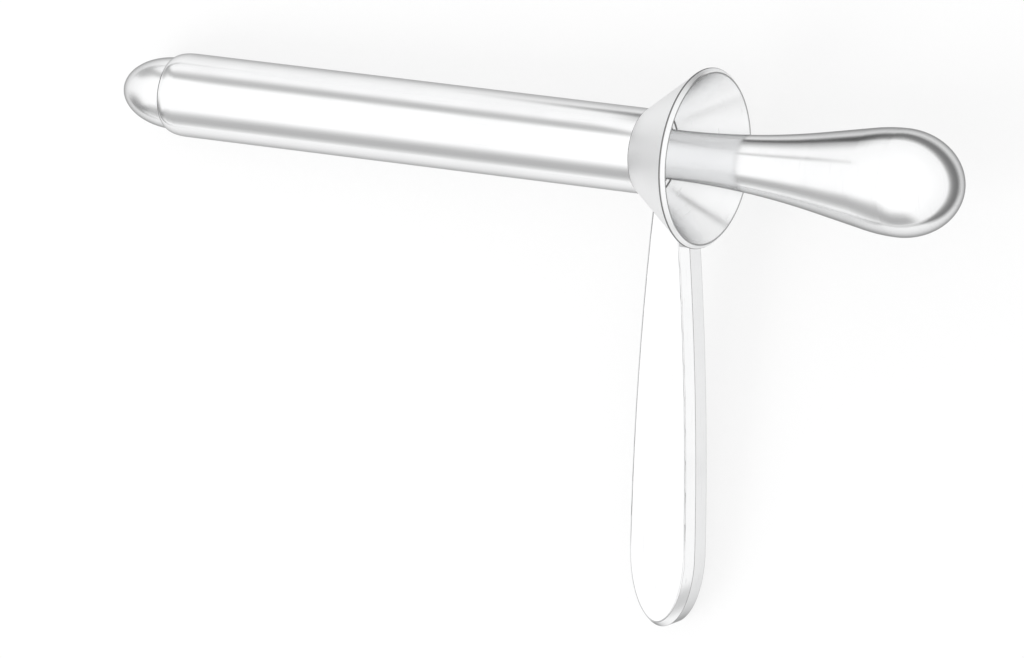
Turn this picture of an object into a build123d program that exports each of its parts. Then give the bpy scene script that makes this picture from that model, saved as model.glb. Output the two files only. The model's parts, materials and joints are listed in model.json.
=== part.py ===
from build123d import *
import math
import os

# Tubular anal speculum with its obturator, in millimetres.
#
# The pieces are first drawn in the instrument's own frame: the tube's axis is X, the funnel opens
# towards +X and the handle points along -Y. They are then laid down on the three places that the
# real instrument comes to rest on: the funnel's rim, the tube's lip and the end of the handle.
# In that lying frame the surface is Z = 0, +Z is up, and seen from above the tube runs along X.

# Driving dimensions

# Tube
TUBE_DIAMETER = 22.0            # outside, 7/8 inch
TUBE_WALL = 1.5
TUBE_LENGTH = 143.0             # from its lip to the funnel's small end
LIP_LENGTH = 4.5                # stretch over which the lip eases inwards
LIP_DROP = 1.25                 # how far the lip eases inwards, on the radius

# Funnel
RIM_DIAMETER = 46.6             # widest edge
FUNNEL_DEPTH = 16.0             # from the small end to the widest edge
FUNNEL_WALL = 1.85              # square to the wall
SMALL_END_LAND = 0.3            # flat ring round the tube at the small end
RIM_BEVEL_LENGTH = 1.4          # along the axis, from the widest edge to the front edge
RIM_EDGE_RADIUS = 0.25          # both edges of the bevel are broken this much
SOCKET_STEP = 0.2               # the tube is turned down this much, on the radius, inside the funnel

# Handle
HANDLE_SETBACK = 8.0            # from the funnel's widest edge back to the handle's middle
HANDLE_THICKNESS = 11.0
HANDLE_WIDTH = 19.1             # where it is widest
HANDLE_TOP_WIDTH = 7.1          # where its sides, carried on upwards, pass the tube's axis
HANDLE_WIDEST_REACH = 102.8     # from the tube's axis to the widest place
HANDLE_END_LENGTH = 19.8        # half ellipse beyond the widest place
HANDLE_BEVEL_WIDTH = 1.6        # across the broad face
HANDLE_BEVEL_DEPTH = 2.75       # into the thickness
HANDLE_EDGE_RADIUS = 0.3        # the edges along both broad faces are broken this much

# Obturator tip
NOSE_LENGTH = 15.5              # stands out of the tube
PLUG_LENGTH = 14.0              # guided stretch inside the tube
PLUG_TAPER_LENGTH = 6.0
PLUG_TAPER_END_DIAMETER = 11.0
TIP_HOLE_DEPTH = 10.0

# Obturator rod
ROD_DIAMETER = 8.0
SPIGOT_DIAMETER = 6.0           # its screwed ends, drawn without their thread
TIP_SPIGOT_LENGTH = 9.5
GRIP_SPIGOT_LENGTH = 15.0       # passes through the collar into the grip
ROD_END_CHAMFER = 0.5

# Stop collar
COLLAR_DIAMETER = 20.0
COLLAR_PILOT_LENGTH = 1.6       # short cylinder that enters the tube
COLLAR_EDGE_CHAMFER = 0.4

# Grip
NECK_DIAMETER = 12.8
NECK_LENGTH = 5.3               # straight stretch behind the collar
FLARE_RADIUS = 237.0            # hollow sweep from the neck to the flank
FLANK_ANGLE = 10.5              # straight flank, in degrees to the axis
BELLY_DIAMETER = 27.7
BELLY_SWEEP_RADIUS = 47.5       # sweep from the flank to the widest place
GRIP_END_LENGTH = 16.4          # half ellipse beyond the widest place
GRIP_HOLE_SPARE = 0.5           # space left beyond the spigot's end

# Fits
PLUG_CLEARANCE = 0.05           # plug in the tube, on the radius
PILOT_CLEARANCE = 0.3           # collar's pilot in the tube, on the radius
SEAT_GAP = 0.2                  # collar's cone over the funnel's cone, square to it

# Places along the axis, and the cone of the funnel

tube_radius = TUBE_DIAMETER / 2
bore_radius = tube_radius - TUBE_WALL
rim_radius = RIM_DIAMETER / 2
land_radius = tube_radius + SMALL_END_LAND
socket_radius = tube_radius - SOCKET_STEP

rim_x = 0.0                     # the funnel's widest edge
front_x = rim_x + RIM_BEVEL_LENGTH
small_end_x = rim_x - FUNNEL_DEPTH
lip_x = small_end_x - TUBE_LENGTH
handle_x = rim_x - HANDLE_SETBACK

cone_slope = (rim_radius - land_radius) / FUNNEL_DEPTH
cone_angle = math.atan(cone_slope)


def cone_radius(x, inward=0.0):
    """Radius at x of the funnel's outer cone, or of the cone that lies this far inward of it."""
    return rim_radius + (x - rim_x) * cone_slope - inward / math.cos(cone_angle)


def cone_x(radius, inward=0.0):
    """Place on the axis where that cone has this radius."""
    return rim_x + (radius + inward / math.cos(cone_angle) - rim_radius) / cone_slope


front_radius = cone_radius(front_x, FUNNEL_WALL)
tube_end_x = cone_x(socket_radius, FUNNEL_WALL)
bore_end_x = cone_x(bore_radius, FUNNEL_WALL)

plug_radius = bore_radius - PLUG_CLEARANCE
plug_end_x = lip_x + PLUG_LENGTH
tip_end_x = plug_end_x + PLUG_TAPER_LENGTH
rod_radius = ROD_DIAMETER / 2
spigot_radius = SPIGOT_DIAMETER / 2

collar_radius = COLLAR_DIAMETER / 2
pilot_radius = bore_radius - PILOT_CLEARANCE
collar_cone_x = cone_x(pilot_radius, FUNNEL_WALL + SEAT_GAP)
collar_back_x = cone_x(collar_radius, FUNNEL_WALL + SEAT_GAP)
collar_front_x = collar_cone_x - COLLAR_PILOT_LENGTH
grip_spigot_end_x = collar_front_x + GRIP_SPIGOT_LENGTH


def turned(*edges):
    """Solid of revolution about X from a closed outline in the upper half of the XY plane."""
    return revolve(make_face(Wire(edges)), axis=Axis.X)


def lines(*points):
    """Straight edges through the points, in order."""
    return [Line(a, b) for a, b in zip(points, points[1:])]


# The speculum


def speculum_tube():
    """Plain tube with an eased lip. Its other end is turned down and follows the funnel's inner cone."""
    lip_centre = (lip_x + LIP_LENGTH, tube_radius - LIP_DROP)
    lip = EllipticalCenterArc(lip_centre, LIP_LENGTH, LIP_DROP, 90, arc_size=90)
    inside = (lip_x, bore_radius)
    inner_end = (bore_end_x, bore_radius)
    socket_end = (tube_end_x, socket_radius)
    socket_start = (small_end_x, socket_radius)
    shoulder = (small_end_x, tube_radius)
    return turned(lip, *lines(lip @ 1, inside, inner_end, socket_end, socket_start, shoulder, lip @ 0))


def funnel():
    """Cone whose small end is a socket for the tube, and whose rim is bevelled to a narrow edge."""
    small_outside = (small_end_x, land_radius)
    small_inside = (small_end_x, socket_radius)
    socket_end = (tube_end_x, socket_radius)
    front_edge = (front_x, front_radius)
    widest_edge = (rim_x, rim_radius)
    cone = turned(*lines(small_outside, small_inside, socket_end, front_edge, widest_edge, small_outside))
    rim_edges = cone.edges().filter_by(GeomType.CIRCLE).sort_by(Axis.X)[-2:]
    return fillet(rim_edges, RIM_EDGE_RADIUS)


def funnel_core():
    """Everything inside the funnel's outer surface."""
    small_end = Line((small_end_x, 0), (small_end_x, land_radius))
    # The cone's line is a spline of one straight run, which makes the edges that it cuts splines too.
    cone = Bezier(small_end @ 1, (rim_x, rim_radius))
    front = lines(cone @ 1, (front_x, rim_radius), (front_x, 0), small_end @ 0)
    return turned(small_end, cone, *front)


def handle():
    """Flat bar with bevelled edges and a rounded end. Its top is cut to the funnel's outer cone."""
    half_width = HANDLE_WIDTH / 2
    half_top = HANDLE_TOP_WIDTH / 2
    end = EllipticalCenterArc((0, -HANDLE_WIDEST_REACH), half_width, HANDLE_END_LENGTH, 180, arc_size=180)
    right = TangentArc(end @ 1, (half_top, 0), tangent=(0, 1))
    left = TangentArc(end @ 0, (-half_top, 0), tangent=(0, 1))
    outline = make_face(Wire([end, right, Line(right @ 1, left @ 1), left]))
    bar = extrude(outline, amount=HANDLE_THICKNESS / 2, both=True)
    for side in (0, -1):
        broad_face = bar.faces().sort_by(Axis.Z)[side]
        bar = chamfer(broad_face.edges(), HANDLE_BEVEL_WIDTH, HANDLE_BEVEL_DEPTH, reference=broad_face)
    bar = Pos(handle_x, 0, 0) * bar - funnel_core()
    faces = bar.faces().sort_by(Axis.Z)
    # All but each broad face's uppermost edge, which lies on the funnel.
    long_edges = [edge for side in (0, -1) for edge in faces[side].edges().sort_by(Axis.Y)[:-1]]
    return fillet(long_edges, HANDLE_EDGE_RADIUS)


# The obturator


def obturator_tip():
    """Rounded nose and guided plug in one, with a blind hole for the rod's screwed end."""
    nose = EllipticalCenterArc((lip_x, 0), NOSE_LENGTH, plug_radius, 90, arc_size=90)
    hole_x = tip_end_x - TIP_HOLE_DEPTH
    return turned(
        nose,
        *lines(
            nose @ 1,
            (hole_x, 0),
            (hole_x, spigot_radius),
            (tip_end_x, spigot_radius),
            (tip_end_x, PLUG_TAPER_END_DIAMETER / 2),
            (plug_end_x, plug_radius),
            nose @ 0,
        ),
    )


def obturator_rod():
    """Straight rod with a thinner screwed end at the tip and another at the grip."""
    rod = turned(
        *lines(
            (tip_end_x - TIP_SPIGOT_LENGTH, 0),
            (tip_end_x - TIP_SPIGOT_LENGTH, spigot_radius),
            (tip_end_x, spigot_radius),
            (tip_end_x, rod_radius),
            (collar_front_x, rod_radius),
            (collar_front_x, spigot_radius),
            (grip_spigot_end_x, spigot_radius),
            (grip_spigot_end_x, 0),
            (tip_end_x - TIP_SPIGOT_LENGTH, 0),
        )
    )
    end_edges = rod.edges().filter_by(GeomType.CIRCLE).sort_by(Axis.X)
    return chamfer([end_edges[0], end_edges[-1]], ROD_END_CHAMFER)


def stop_collar():
    """Ring held between rod and grip. Its cone stops the obturator on the funnel's inner cone."""
    collar = turned(
        *lines(
            (collar_front_x, spigot_radius),
            (collar_front_x, pilot_radius),
            (collar_cone_x, pilot_radius),
            (collar_back_x, collar_radius),
            (collar_back_x, spigot_radius),
            (collar_front_x, spigot_radius),
        )
    )
    front_face = collar.faces().sort_by(Axis.X)[0]
    front_ring = front_face.edges().sort_by(SortBy.RADIUS)[-1]
    return chamfer(front_ring, COLLAR_EDGE_CHAMFER)


def obturator_grip():
    """Pear-shaped grip: neck, hollow flare, straight flank, belly and rounded end."""
    neck_radius = NECK_DIAMETER / 2
    belly_radius = BELLY_DIAMETER / 2
    flank_sine = math.sin(math.radians(FLANK_ANGLE))
    flank_rise = 1 - math.cos(math.radians(FLANK_ANGLE))

    flare_start = (collar_back_x + NECK_LENGTH, neck_radius)
    flank_start = (flare_start[0] + FLARE_RADIUS * flank_sine, neck_radius + FLARE_RADIUS * flank_rise)
    flank_end_radius = belly_radius - BELLY_SWEEP_RADIUS * flank_rise
    flank_length = (flank_end_radius - flank_start[1]) / math.tan(math.radians(FLANK_ANGLE))
    flank_end = (flank_start[0] + flank_length, flank_end_radius)
    belly = (flank_end[0] + BELLY_SWEEP_RADIUS * flank_sine, belly_radius)

    flare = TangentArc(flare_start, flank_start, tangent=(1, 0))
    sweep = TangentArc(belly, flank_end, tangent=(-1, 0))
    end = EllipticalCenterArc((belly[0], 0), GRIP_END_LENGTH, belly_radius, 0, arc_size=90)
    hole_x = grip_spigot_end_x + GRIP_HOLE_SPARE
    return turned(
        *lines((hole_x, 0), (hole_x, spigot_radius), (collar_back_x, spigot_radius)),
        *lines((collar_back_x, spigot_radius), (collar_back_x, neck_radius), flare_start),
        flare,
        Line(flank_start, flank_end),
        sweep,
        end,
        Line(end @ 0, (hole_x, 0)),
    )


# Lying down


def root(function, low, high):
    """Argument between low and high at which a rising function passes zero."""
    for _ in range(60):
        middle = (low + high) / 2
        if function(middle) < 0:
            low = middle
        else:
            high = middle
    return (low + high) / 2


def rim_height(pitch):
    """Lowest point of the funnel's broken rim edge, measured from the axis at rim_x."""
    bevel_angle = math.atan2(rim_radius - front_radius, RIM_BEVEL_LENGTH)
    cone_normal = (-math.sin(cone_angle), math.cos(cone_angle))
    bevel_normal = (math.sin(bevel_angle), math.cos(bevel_angle))
    spread = 1 + cone_normal[0] * bevel_normal[0] + cone_normal[1] * bevel_normal[1]
    centre_x = rim_x - RIM_EDGE_RADIUS * (cone_normal[0] + bevel_normal[0]) / spread
    centre_radius = rim_radius - RIM_EDGE_RADIUS * (cone_normal[1] + bevel_normal[1]) / spread
    return centre_x * math.sin(pitch) - centre_radius * math.cos(pitch) - RIM_EDGE_RADIUS


def lip_height(pitch):
    """Lowest point of the tube's eased lip, measured likewise."""
    centre_x = lip_x + LIP_LENGTH
    centre_radius = tube_radius - LIP_DROP
    ease = math.hypot(LIP_LENGTH * math.sin(pitch), LIP_DROP * math.cos(pitch))
    return centre_x * math.sin(pitch) - centre_radius * math.cos(pitch) - ease


def handle_height(pitch, roll):
    """Lowest point of the broken edge round the handle's end, measured likewise."""
    up_x = math.sin(pitch)
    up_y = math.cos(pitch) * math.sin(roll)
    up_z = math.cos(pitch) * math.cos(roll)
    half_turn = math.atan(HANDLE_BEVEL_DEPTH / HANDLE_BEVEL_WIDTH) / 2
    inset = HANDLE_BEVEL_WIDTH + HANDLE_EDGE_RADIUS * math.tan(half_turn)
    end_reach = math.hypot(HANDLE_WIDTH / 2 * up_x, HANDLE_END_LENGTH * up_y)
    end_reach -= inset * math.hypot(up_x, up_y)
    broad_face = (HANDLE_THICKNESS / 2 - HANDLE_EDGE_RADIUS) * up_z + HANDLE_EDGE_RADIUS
    return handle_x * up_x - HANDLE_WIDEST_REACH * up_y - end_reach - broad_face


# The lying instrument's up direction and the direction seen along its tube, in the instrument's frame.
pitch = root(lambda angle: rim_height(angle) - lip_height(angle), 0, 1)
roll = root(lambda angle: rim_height(pitch) - handle_height(pitch, angle), 0, 1)
up = Vector(math.sin(pitch), math.cos(pitch) * math.sin(roll), math.cos(pitch) * math.cos(roll))
along = Vector(math.cos(pitch), -math.sin(pitch) * math.sin(roll), -math.sin(pitch) * math.cos(roll))
turn_over = Plane(origin=(0, 0, 0), x_dir=along, z_dir=up).location.inverse()

pieces = {
    "speculum_tube": speculum_tube(),
    "funnel": funnel(),
    "handle": handle(),
    "obturator_tip": obturator_tip(),
    "obturator_rod": obturator_rod(),
    "stop_collar": stop_collar(),
    "obturator_grip": obturator_grip(),
}

# The surface is Z = 0, and the origin is the middle of the box round the lying instrument.
turned_over = Compound([turn_over * piece for piece in pieces.values()]).bounding_box()
lying = Pos(-turned_over.center().X, -turned_over.center().Y, -rim_height(pitch)) * turn_over

os.makedirs("parts", exist_ok=True)
for name, piece in pieces.items():
    export_step(lying * piece, f"parts/{name}.step")
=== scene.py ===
import json
import math
import bpy
from mathutils import Matrix, Vector

# Tubular anal speculum with obturator, lying on a pale floor. Lengths in metres, in the row frame.

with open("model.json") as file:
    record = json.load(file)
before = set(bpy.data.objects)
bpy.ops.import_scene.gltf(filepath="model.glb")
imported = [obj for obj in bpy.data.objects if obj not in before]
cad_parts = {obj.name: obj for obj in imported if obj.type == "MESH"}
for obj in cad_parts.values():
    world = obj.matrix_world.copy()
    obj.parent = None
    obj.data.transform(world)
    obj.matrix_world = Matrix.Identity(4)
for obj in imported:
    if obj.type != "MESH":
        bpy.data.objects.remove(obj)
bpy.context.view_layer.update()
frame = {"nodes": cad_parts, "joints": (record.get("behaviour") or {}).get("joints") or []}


# The instrument's own axes: along the tube, from handle to tube, and out of the handle's broad face


def ends_along(direction, node):
    """Lowest and highest place of a CAD node along a direction."""
    places = [direction.dot(vertex.co) for vertex in frame["nodes"][node].data.vertices]
    return min(places), max(places)


FUNNEL_DEPTH = 0.016  # from its small end to the rim's widest edge
ROLL = math.radians(8.13)  # turn about the tube that lays the handle's end on the floor

TUBE_AXIS = Vector(frame["joints"][0]["axis"])
HANDLE_UP = Matrix.Rotation(ROLL, 3, TUBE_AXIS) @ Vector((0.0, 1.0, 0.0))
FACE_OUT = TUBE_AXIS.cross(HANDLE_UP)

rim_along = ends_along(TUBE_AXIS, "funnel")[0] + FUNNEL_DEPTH
rim_up, rim_out = [sum(ends_along(axis, "funnel")) / 2 for axis in (HANDLE_UP, FACE_OUT)]
RIM_CENTRE = TUBE_AXIS * rim_along + HANDLE_UP * rim_up + FACE_OUT * rim_out


# Node helpers


class Tree:
    """The node tree of a material or world, with short calls for the nodes used here."""

    def __init__(self, owner):
        owner.use_nodes = True
        self.tree = owner.node_tree
        self.tree.nodes.clear()

    def put(self, socket, value):
        """Links the socket to a node's output, or sets it to a plain value."""
        if isinstance(value, bpy.types.NodeSocket):
            self.tree.links.new(value, socket)
        else:
            socket.default_value = value

    def node(self, kind, inputs=(), **settings):
        made = self.tree.nodes.new(kind)
        for key, value in settings.items():
            setattr(made, key, value)
        for key, value in dict(inputs).items():
            self.put(made.inputs[key], value)
        return made

    def show(self, shader, kind="ShaderNodeOutputMaterial"):
        """Sends the shader to the tree's output."""
        self.node(kind, {"Surface": shader.outputs[0]})

    def math(self, operation, *values):
        made = self.node("ShaderNodeMath", operation=operation)
        for socket, value in zip(made.inputs, values):
            self.put(socket, value)
        return made.outputs[0]

    def vector(self, operation, a, b):
        made = self.node("ShaderNodeVectorMath", operation=operation)
        self.put(made.inputs[0], a)
        self.put(made.inputs[1], b)
        return made.outputs["Value" if operation == "DOT_PRODUCT" else "Vector"]

    def product(self, first, *others):
        for value in others:
            first = self.math("MULTIPLY", first, value)
        return first

    def weighted(self, start, *terms):
        """start, plus each term's value times its weight."""
        for value, weight in terms:
            start = self.math("MULTIPLY_ADD", value, weight, start)
        return start

    def step(self, value, start, end, low=0.0, high=1.0):
        """Smooth step from low to high between start and end."""
        inputs = {"Value": value, "From Min": start, "From Max": end, "To Min": low, "To Max": high}
        made = self.node("ShaderNodeMapRange", inputs, interpolation_type="SMOOTHSTEP")
        return made.outputs["Result"]

    def rise_and_fall(self, value, start, full, leave, end):
        """0 below start, 1 from full to leave, 0 above end, with smooth slopes."""
        return self.product(self.step(value, start, full), self.step(value, leave, end, 1.0, 0.0))

    def noise(self, place, scale, detail, roughness):
        inputs = {"Vector": place, "Scale": scale, "Detail": detail, "Roughness": roughness}
        return self.node("ShaderNodeTexNoise", inputs).outputs["Fac"]


# Polished metal


PLATE = (0.975, 0.978, 0.982)
STEEL = (0.80, 0.805, 0.81)

# How the polishing marks are stretched along the instrument's axes: round the tube's axis on turned
# pieces, along the tube on the drawn tube, and along the handle on its bar.
TURNED = (1.0, 0.05, 0.05)
DRAWN = (0.03, 1.0, 1.0)
ALONG_HANDLE = (1.0, 0.03, 1.0)

# Between these two values of its noise a hairline or a smudge comes up to full strength.
HAIRLINE_FROM, HAIRLINE_FULL = 0.66, 0.74
SMUDGE_FROM, SMUDGE_FULL = 0.42, 0.68

# What satin and marks add to the roughness, what they take from the shade, and their share in the bump.
# The edge line's darkening is painted shade.
SATIN, LINE_DULL, HAIRLINE_DULL, ARRIS_DULL = 0.2, 0.35, 0.05, 0.2
CLOUD_DARK, SMUDGE_DARK, HAIRLINE_DARK, EDGE_PAINTED_SHADE = 0.03, 0.02, 0.03, 0.75
BUMP_HEIGHT, LINE_HEIGHT, HAIRLINE_DEPTH = 0.00002, 0.6, 0.4

# A sharp edge is where the surface turns away from the direction that the Bevel node rounds it to.
# The line, which is rougher and darkened with painted shade, starts and is full at these dot products of
# the two directions.
ARRIS_WIDTH, ARRIS_FROM, ARRIS_FULL = 0.0004, 0.9996, 0.985

# Places along the tube's axis of the edges too round for that node, and how far the painted shade line
# reaches there.
LIP_END, SMALL_END, RIM_EDGE, RIM_FRONT = -0.1587, -FUNNEL_DEPTH, 0.0, 0.0014
LINE_REACH, LINE_CORE = 0.00032, 0.0001

# The cone that divides the funnel's outer side from its inner side runs inside the wall.
RIM_RADIUS, DIVIDE_INSET, DIVIDE_SLOPE, DIVIDE_BLUR = 0.0233, 0.00156, 0.77, 0.0002


def own_axes(tree):
    """Place along the instrument's three axes, in metres from the rim's centre."""
    place = tree.node("ShaderNodeTexCoord").outputs["Object"]
    from_rim = tree.vector("SUBTRACT", place, RIM_CENTRE)
    return [tree.vector("DOT_PRODUCT", from_rim, axis) for axis in (TUBE_AXIS, HANDLE_UP, FACE_OUT)]


def outside_funnel(tree, x, y, z):
    """1 on the funnel's outer side, which is brushed, and 0 on its polished inner side."""
    radius = tree.math("SQRT", tree.math("ADD", tree.product(y, y), tree.product(z, z)))
    divide = tree.weighted(RIM_RADIUS - DIVIDE_INSET, (x, DIVIDE_SLOPE))
    return tree.step(tree.math("SUBTRACT", radius, divide), -DIVIDE_BLUR, DIVIDE_BLUR)


def rough_and_shaded_edges(tree, x, satin, edges, outer_edges):
    """1 on the line along each edge, which is made rougher and darkened with painted shade.

    edges and outer_edges are places along the tube's axis. An outer edge's line shows on satin only.
    """
    # Painted shade line where the Bevel node finds a sharp edge, and at the listed places along the axis.
    rounded = tree.node("ShaderNodeBevel", {"Radius": ARRIS_WIDTH}, samples=16).outputs["Normal"]
    surface = tree.node("ShaderNodeNewGeometry").outputs["Normal"]
    dull_shaded_edge = tree.step(tree.vector("DOT_PRODUCT", rounded, surface), ARRIS_FROM, ARRIS_FULL)
    for places, side in ((edges, 1.0), (outer_edges, satin)):
        for edge in places:
            off = tree.math("ABSOLUTE", tree.math("SUBTRACT", x, edge))
            line = tree.product(tree.step(off, LINE_REACH, LINE_CORE), side)
            dull_shaded_edge = tree.math("MAXIMUM", dull_shaded_edge, line)
    return dull_shaded_edge


def polished_metal(name, tint, gloss, lay, marks, haze, grazing, edges=(), outer_edges=(), brushed=None):
    """Polished plate or steel, with a rougher line of painted shade along its edges.

    gloss is the roughness between the marks, and lay how the marks are stretched. marks is the strength
    of the buffing lines, haze that of the smudges, and grazing the light kept at a flat angle. brushed
    is a function that gives 1 where the metal is satin.
    """
    material = bpy.data.materials.new(name)
    tree = Tree(material)
    x, y, z = own_axes(tree)
    place = tree.node("ShaderNodeCombineXYZ", {"X": x, "Y": y, "Z": z}).outputs[0]
    stretched = tree.vector("MULTIPLY", place, lay)

    # Fine lines left by the buffing wheel, a few stray hairlines, and soft handling marks.
    lines = tree.noise(stretched, scale=9000.0, detail=3.0, roughness=0.6)
    hairlines = tree.noise(stretched, scale=2600.0, detail=1.0, roughness=0.4)
    hairlines = tree.step(hairlines, HAIRLINE_FROM, HAIRLINE_FULL)
    smudge = tree.noise(place, scale=42.0, detail=4.0, roughness=0.55)
    smudge = tree.step(smudge, SMUDGE_FROM, SMUDGE_FULL)
    cloud = tree.noise(place, scale=130.0, detail=3.0, roughness=0.5)
    satin = brushed(tree, x, y, z) if brushed else 0.0
    dull_shaded_edge = rough_and_shaded_edges(tree, x, satin, edges, outer_edges)

    roughness = tree.weighted(
        gloss, (smudge, haze), (lines, marks * LINE_DULL), (hairlines, HAIRLINE_DULL),
        (satin, SATIN), (dull_shaded_edge, ARRIS_DULL),
    )
    # The edge line's darkening is painted shade; the cloud, smudge and hairline darkening is the metal's
    # own tone.
    shade = tree.weighted(
        1.0, (cloud, -CLOUD_DARK), (smudge, -SMUDGE_DARK), (hairlines, -HAIRLINE_DARK),
        (dull_shaded_edge, -EDGE_PAINTED_SHADE),
    )
    colour = tree.node("ShaderNodeVectorMath", {"Vector": tint, "Scale": shade}, operation="SCALE")
    height = tree.weighted(0.0, (lines, LINE_HEIGHT), (hairlines, -HAIRLINE_DEPTH))
    bump = tree.node("ShaderNodeBump", {"Strength": marks, "Distance": BUMP_HEIGHT, "Height": height})
    metal = tree.node(
        "ShaderNodeBsdfPrincipled",
        {
            "Base Color": colour.outputs[0],
            "Metallic": 1.0,
            "Roughness": roughness,
            "Specular Tint": (grazing, grazing, grazing, 1.0),
            "Normal": bump.outputs[0],
        },
    )
    tree.show(metal)
    return material


finishes = {
    "speculum_tube": polished_metal(
        "tube_metal", PLATE, gloss=0.13, lay=DRAWN, marks=0.05, haze=0.04, grazing=0.45, edges=[LIP_END],
    ),
    "funnel": polished_metal(
        "funnel_metal", PLATE, gloss=0.2, lay=TURNED, marks=0.05, haze=0.03, grazing=0.8,
        edges=[RIM_FRONT], outer_edges=[SMALL_END, RIM_EDGE], brushed=outside_funnel,
    ),
    "handle": polished_metal(
        "handle_metal", PLATE, gloss=0.08, lay=ALONG_HANDLE, marks=0.06, haze=0.05, grazing=0.35,
    ),
    "obturator_tip": polished_metal(
        "tip_metal", PLATE, gloss=0.20, lay=TURNED, marks=0.05, haze=0.04, grazing=0.3,
    ),
    "obturator_grip": polished_metal(
        "grip_metal", PLATE, gloss=0.13, lay=TURNED, marks=0.05, haze=0.04, grazing=0.3,
    ),
    "obturator_rod": polished_metal(
        "rod_metal", STEEL, gloss=0.22, lay=TURNED, marks=0.12, haze=0.08, grazing=0.6,
    ),
    "stop_collar": polished_metal(
        "collar_metal", STEEL, gloss=0.22, lay=TURNED, marks=0.12, haze=0.08, grazing=0.6,
    ),
}
for node, material in finishes.items():
    slots = frame["nodes"][node].data.materials
    slots.clear()
    slots.append(material)


# Floor


FLOOR_SHADE, FLOOR_GLOW = 0.20, 0.76
FLOOR_REACH, FLOOR_DROP = 4.0, 0.0001


def card(name, corners, material):
    """Flat card with four corners."""
    mesh = bpy.data.meshes.new(name)
    mesh.from_pydata(corners, [], [(0, 1, 2, 3)])
    mesh.materials.append(material)
    made = bpy.data.objects.new(name, mesh)
    bpy.context.scene.collection.objects.link(made)
    return made


def square(x, y, reach):
    """Corners of a level square about (x, y)."""
    return [(x + i * reach, y + j * reach, 0.0) for i, j in ((-1, -1), (1, -1), (1, 1), (-1, 1))]


def floor_material():
    """Pale paper that the camera and reflections see nearly white. It still takes the object's shadow."""
    material = bpy.data.materials.new("pale_floor")
    tree = Tree(material)
    path = tree.node("ShaderNodeLightPath").outputs
    shown = tree.math("MAXIMUM", path["Is Camera Ray"], path["Is Glossy Ray"])
    shown = tree.math("MAXIMUM", shown, path["Is Transmission Ray"])
    glow = tree.product(shown, FLOOR_GLOW)
    paper = tree.node("ShaderNodeBsdfDiffuse", {"Color": (FLOOR_SHADE, FLOOR_SHADE, FLOOR_SHADE, 1.0)})
    white = tree.node("ShaderNodeEmission", {"Color": (1.0, 1.0, 1.0, 1.0), "Strength": glow})
    both = tree.node("ShaderNodeAddShader")
    tree.put(both.inputs[0], paper.outputs[0])
    tree.put(both.inputs[1], white.outputs[0])
    tree.show(both)
    return material


floor = card("floor", square(0.0, 0.0, FLOOR_REACH), floor_material())
floor.location.z = -FLOOR_DROP


# Light


UPWARDS = Vector((0.0, 0.0, 1.0))
TENT_TOP, TENT_TOP_FROM = 1.08, 0.8
KEY_POWER, KEY_SIZE = 3.5, 0.6
KEY_PLACE = Vector((-0.52, -0.48, 0.75))


def light_studio():
    """An even white tent, a little brighter overhead, and one large soft lamp."""
    world = bpy.data.worlds.new("studio")
    bpy.context.scene.world = world
    tree = Tree(world)
    direction = tree.node("ShaderNodeTexCoord").outputs["Generated"]
    height = tree.vector("DOT_PRODUCT", direction, UPWARDS)
    level = tree.step(height, 0.0, TENT_TOP_FROM, 1.0, TENT_TOP)
    tent = tree.node("ShaderNodeBackground", {"Color": (1.0, 1.0, 1.0, 1.0), "Strength": level})
    tree.show(tent, "ShaderNodeOutputWorld")

    lamp = bpy.data.lights.new("key", "AREA")
    lamp.shape = "DISK"
    lamp.size = KEY_SIZE
    lamp.energy = KEY_POWER
    key = bpy.data.objects.new("key", lamp)
    key.location = KEY_PLACE
    key.rotation_euler = (-KEY_PLACE).to_track_quat("-Z", "Y").to_euler()
    key.visible_glossy = False
    bpy.context.scene.collection.objects.link(key)


light_studio()


# Gels: grey cards outside the picture, which only reflections show. They make the metal's soft grey bands


RIBBON_CORE = 0.1  # share of a ribbon's reach that is evenly dark
CORNER_POWER = 4.0  # how square the floor band's rounded squares are


def gel(name, corners, darkness):
    """Grey gel. darkness gives the share of the light that it takes away at a place."""
    material = bpy.data.materials.new(name)
    tree = Tree(material)
    place = tree.node("ShaderNodeTexCoord").outputs["Object"]
    level = tree.math("SUBTRACT", 1.0, darkness(tree, place))
    grey = tree.node("ShaderNodeCombineXYZ", {"X": level, "Y": level, "Z": level}).outputs[0]
    tree.show(tree.node("ShaderNodeBsdfTransparent", {"Color": grey}))
    made = card(name, corners, material)
    made.visible_camera = made.visible_diffuse = made.visible_shadow = False


def strip(name, start, end, across, fades, profile, kept):
    """Strip from start to end that keeps that share of the light along its middle.

    fades gives the lengths of the fades at its two ends, and profile its rise and fall along across.
    """
    start, end, across = Vector(start), Vector(end), Vector(across)
    along = (end - start).normalized()
    length = (end - start).length

    def darkness(tree, place):
        from_start = tree.vector("SUBTRACT", place, start)
        way = tree.vector("DOT_PRODUCT", from_start, along)
        side = tree.vector("DOT_PRODUCT", from_start, across)
        ends = tree.rise_and_fall(way, 0.0, fades[0], length - fades[1], length)
        return tree.product(ends, tree.rise_and_fall(side, *profile), 1.0 - kept)

    # An upright strip starts at the floor.
    low, high = profile[0], profile[3]
    if across == UPWARDS:
        low = max(low, 0.0)
    corners = [start + across * low, end + across * low, end + across * high, start + across * high]
    gel(name, corners, darkness)


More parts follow.
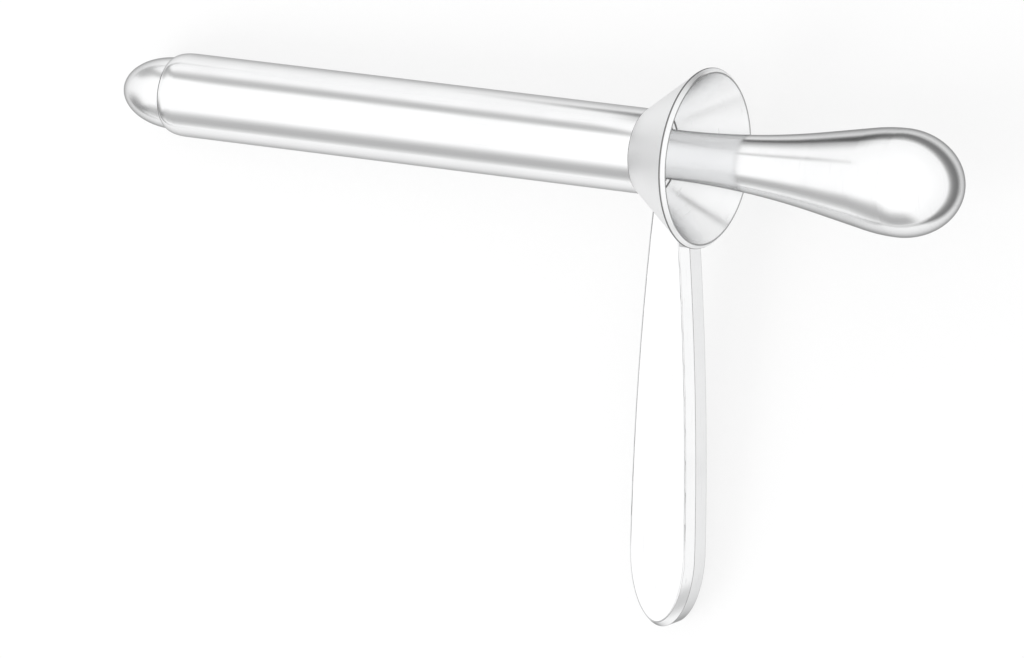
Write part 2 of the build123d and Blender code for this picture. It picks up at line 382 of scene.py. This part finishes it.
def floor_band(name, middle, inner, dark, outer, left_fade, front_fade, kept):
    """Band on the floor on rounded squares about middle, darkest at the distance dark.

    It fades out over left_fade, which is along X, and to half strength over front_fade, along Y.
    """

    def darkness(tree, place):
        from_middle = tree.vector("SUBTRACT", place, (*middle, 0.0))
        parts = tree.node("ShaderNodeSeparateXYZ", {"Vector": from_middle}).outputs
        reaches = [tree.math("ABSOLUTE", parts[axis]) for axis in ("X", "Y")]
        total = tree.math("ADD", *[tree.math("POWER", reach, CORNER_POWER) for reach in reaches])
        ring = tree.math("POWER", total, 1.0 / CORNER_POWER)
        band = tree.rise_and_fall(ring, inner, dark, dark, outer)
        left = tree.step(parts["X"], *left_fade)
        front = tree.step(parts["Y"], *front_fade, 0.5, 1.0)
        return tree.product(band, left, front, 1.0 - kept)

    gel(name, square(*middle, outer), darkness)


def ribbon(name, y, fades, stations):
    """Ribbon on an upright gel along X, with the lengths of the fades at its two ends.

    Each station gives its x, middle height, reach down, reach up, and share of the light kept.
    """
    first, last = stations[0][0], stations[-1][0]
    top = max(height + up for x, height, down, up, kept in stations)

    def darkness(tree, place):
        parts = tree.node("ShaderNodeSeparateXYZ", {"Vector": place}).outputs
        values = stations[0][1:]
        for before, after in zip(stations, stations[1:]):
            turn = tree.step(parts["X"], before[0], after[0])
            changes = [new - old for old, new in zip(before[1:], after[1:])]
            values = [tree.weighted(value, (turn, change)) for value, change in zip(values, changes)]
        height, down, up, kept = values
        above = tree.math("SUBTRACT", parts["Z"], height)
        below = tree.product(above, -1.0)
        off = tree.math("MAXIMUM", tree.math("DIVIDE", above, up), tree.math("DIVIDE", below, down))
        across = tree.step(off, RIBBON_CORE, 1.0, 1.0, 0.0)
        ends = tree.rise_and_fall(parts["X"], first, first + fades[0], last - fades[1], last)
        return tree.product(across, ends, tree.math("SUBTRACT", 1.0, kept))

    gel(name, [(first, y, 0.0), (last, y, 0.0), (last, y, top), (first, y, top)], darkness)


# Beyond the picture's two long sides: the tube's bands, and a low ribbon for the grip's neck.
ribbon("gel_far", 0.12, (0.07, 0.015), [
    (-0.30, 0.015, 0.060, 0.065, 0.60),
    (-0.19, 0.020, 0.060, 0.065, 0.48),
    (-0.155, 0.066, 0.037, 0.045, 0.50),
    (-0.011, 0.087, 0.037, 0.045, 0.50),
])
ribbon("gel_neck", 0.118, (0.02, 0.05), [
    (-0.01, 0.012, 0.014, 0.045, 0.40),
    (0.09, 0.005, 0.010, 0.040, 0.40),
])
ribbon("gel_near", -0.25, (0.15, 0.10), [
    (-0.58, 0.09, 0.17, 0.27, 0.50),
    (-0.15, 0.12, 0.17, 0.27, 0.48),
    (0.06, 0.06, 0.14, 0.20, 0.45),
    (0.23, 0.04, 0.10, 0.17, 0.50),
])

# Round the picture's right half: the grip's dark flanks and round end.
floor_band(
    "gel_round_grip", (0.040, 0.0), inner=0.092, dark=0.116, outer=0.28,
    left_fade=(-0.09, -0.03), front_fade=(-0.115, -0.075), kept=0.2,
)

# Beyond the nose: its grey flanks.
strip(
    "gel_nose_end", (-0.30, 0.05, 0.0), (-0.30, -0.16, 0.0), UPWARDS,
    fades=(0.09, 0.07), profile=(-0.02, -0.01, 0.03, 0.12), kept=0.35,
)
strip(
    "gel_nose_floor", (-0.175, 0.02, 0.0), (-0.30, -0.06, 0.0), (0.539, -0.842, 0.0),
    fades=(0.02, 0.001), profile=(-0.05, 0.0, 0.02, 0.08), kept=0.3,
)
strip(
    "gel_nose_side", (-0.26, 0.10, 0.0), (-0.145, 0.10, 0.0), (0.0, 1.0, 0.0),
    fades=(0.04, 0.03), profile=(-0.03, 0.0, 0.03, 0.12), kept=0.5,
)


# Camera: it looks down on the lying instrument from the side that the funnel opens to


def place_camera(target, azimuth, elevation, roll, distance, lens):
    """Camera that looks at target, with its angles in degrees and its lens in millimetres."""
    data = bpy.data.cameras.new("camera")
    data.lens, data.sensor_width = lens, 36.0
    data.clip_start, data.clip_end = 0.1, 20.0
    camera = bpy.data.objects.new("camera", data)
    a, e = math.radians(azimuth), math.radians(elevation)
    back = Vector((math.sin(a) * math.cos(e), -math.cos(a) * math.cos(e), math.sin(e)))
    right = UPWARDS.cross(back).normalized()
    up = back.cross(right)
    c, s = math.cos(math.radians(roll)), math.sin(math.radians(roll))
    right, up = right * c + up * s, up * c - right * s
    turn = Matrix((right, up, back)).transposed().to_4x4()
    camera.matrix_world = Matrix.Translation(Vector(target) + back * distance) @ turn
    bpy.context.scene.collection.objects.link(camera)
    bpy.context.scene.camera = camera


place_camera(
    target=(-0.000744, -0.000360, 0.020), azimuth=99.670, elevation=64.318, roll=-93.466,
    distance=2.5271, lens=345.4,
)

bpy.context.scene.view_settings.view_transform = "Standard"
